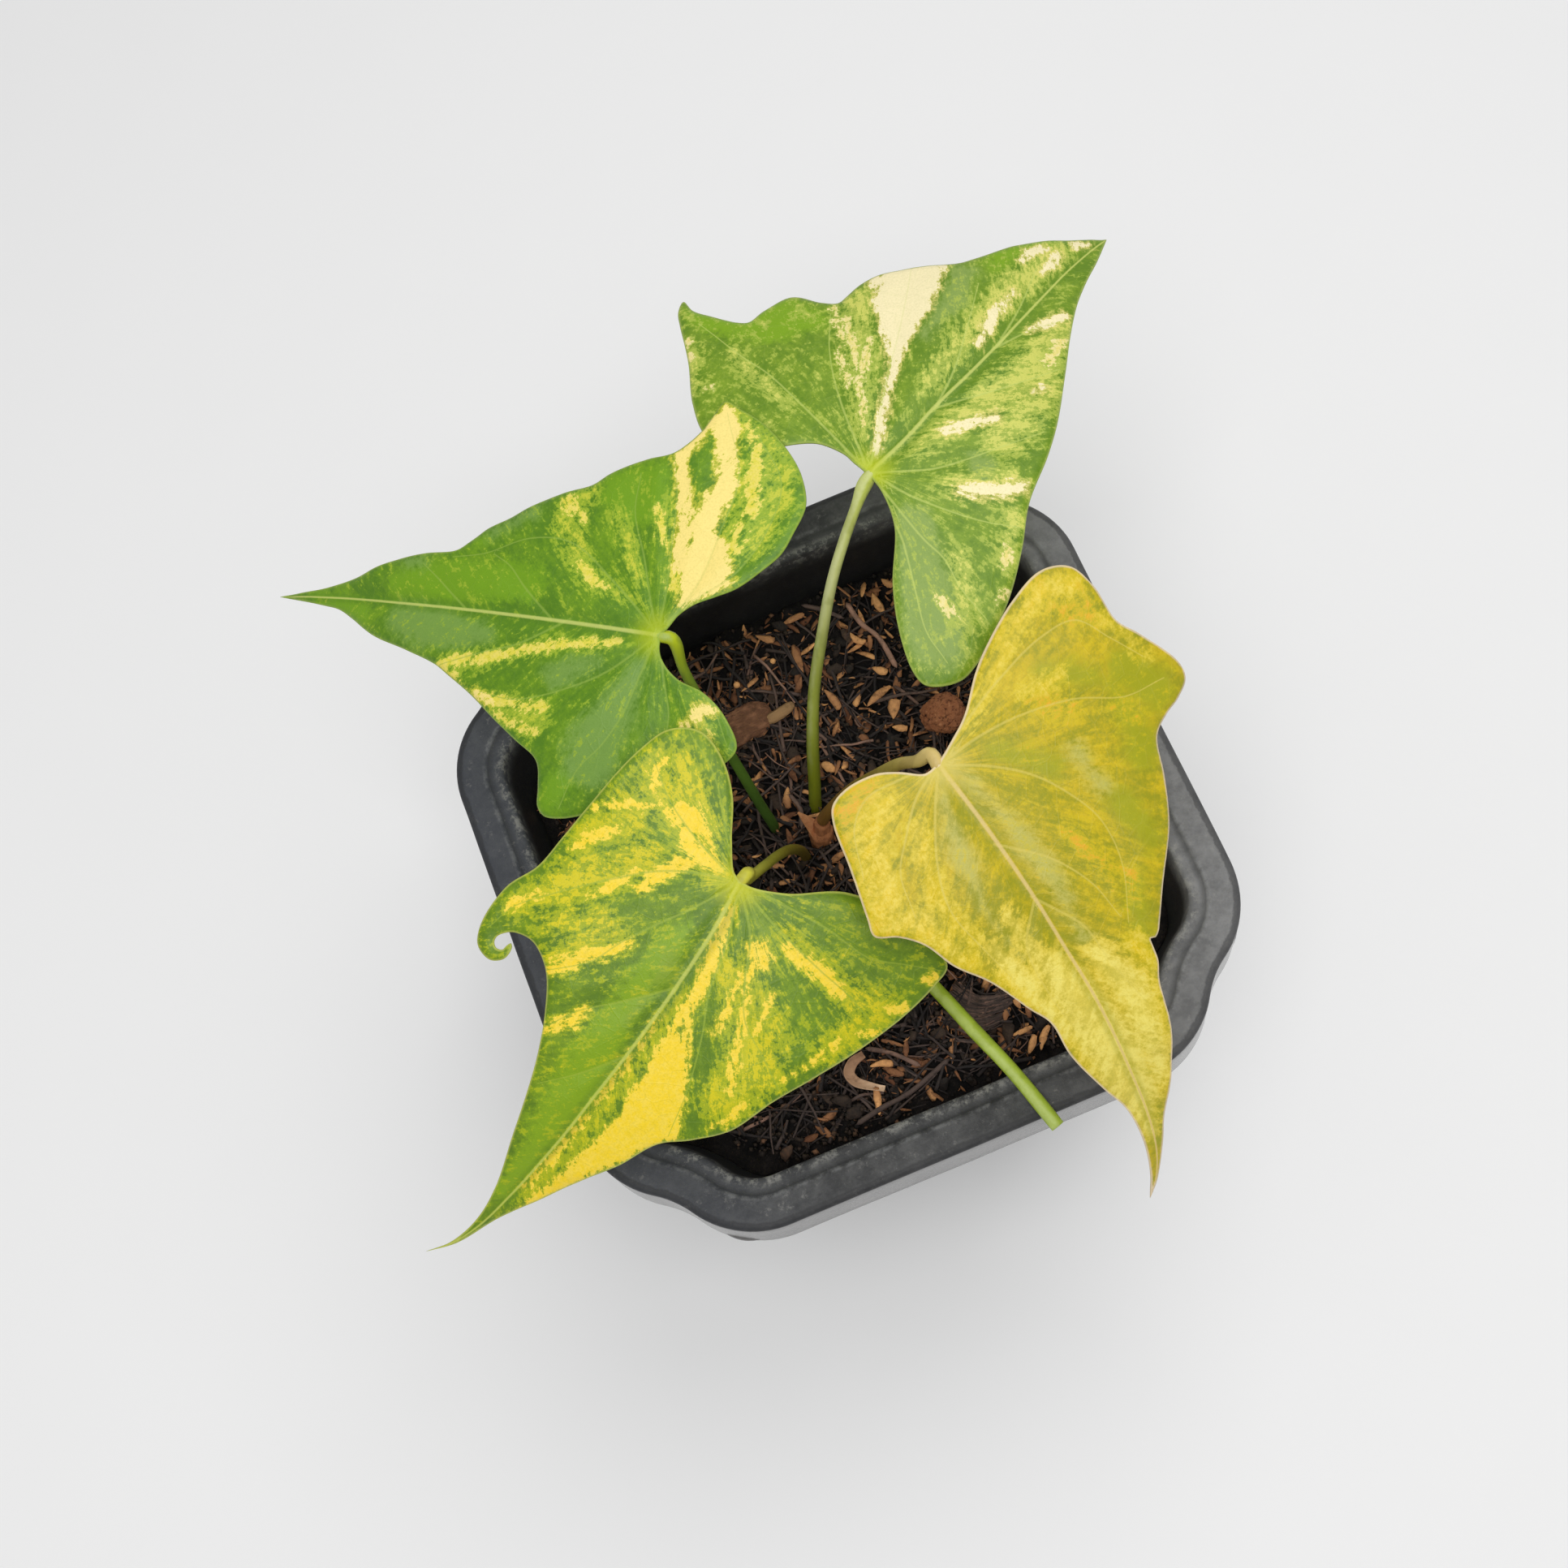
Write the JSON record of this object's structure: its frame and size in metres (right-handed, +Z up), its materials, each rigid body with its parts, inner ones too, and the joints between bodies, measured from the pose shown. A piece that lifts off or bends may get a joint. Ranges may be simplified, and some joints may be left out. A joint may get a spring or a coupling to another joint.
{
  "type": "potted variegated pterodactyl anthurium",
  "caption": "House plant with broad arrow-shaped, wave-edged variegated leaves on thin stalks, growing in a chunky mix in a square black nursery pot.",
  "frame": {"origin": "centre of the flat underside of the pot's base, on the surface that the pot stands on", "axes": "+Z up; X and Y run along the sides of the square rim, and -Y is the side that the picture was taken from"},
  "size_m": [0.2153, 0.2076, 0.1932],
  "materials": {
    "pot_plastic": "matte",
    "potting_mix": "matte",
    "crown_skin": "matte",
    "green_stalk": "satin",
    "dark_stalk": "satin",
    "green_blade": "satin",
    "marbled_blade": "satin",
    "golden_blade": "satin",
    "baked_clay": "matte",
    "bark": "matte",
    "pale_wood": "matte"
  },
  "bodies": {
    "root": {"pot": "pot_plastic", "potting_mix": "potting_mix", "crown": "crown_skin", "stalk_back": "green_stalk", "stalk_left": "green_stalk", "stalk_front": "dark_stalk", "stalk_right": "dark_stalk", "stalk_trimmed": "green_stalk", "blade_back": "green_blade", "blade_left": "green_blade", "blade_front": "marbled_blade", "blade_right": "golden_blade", "clay_pellet": "baked_clay", "bark_chip": "bark", "wood_curl": "pale_wood"}
  },
  "joints": []
}
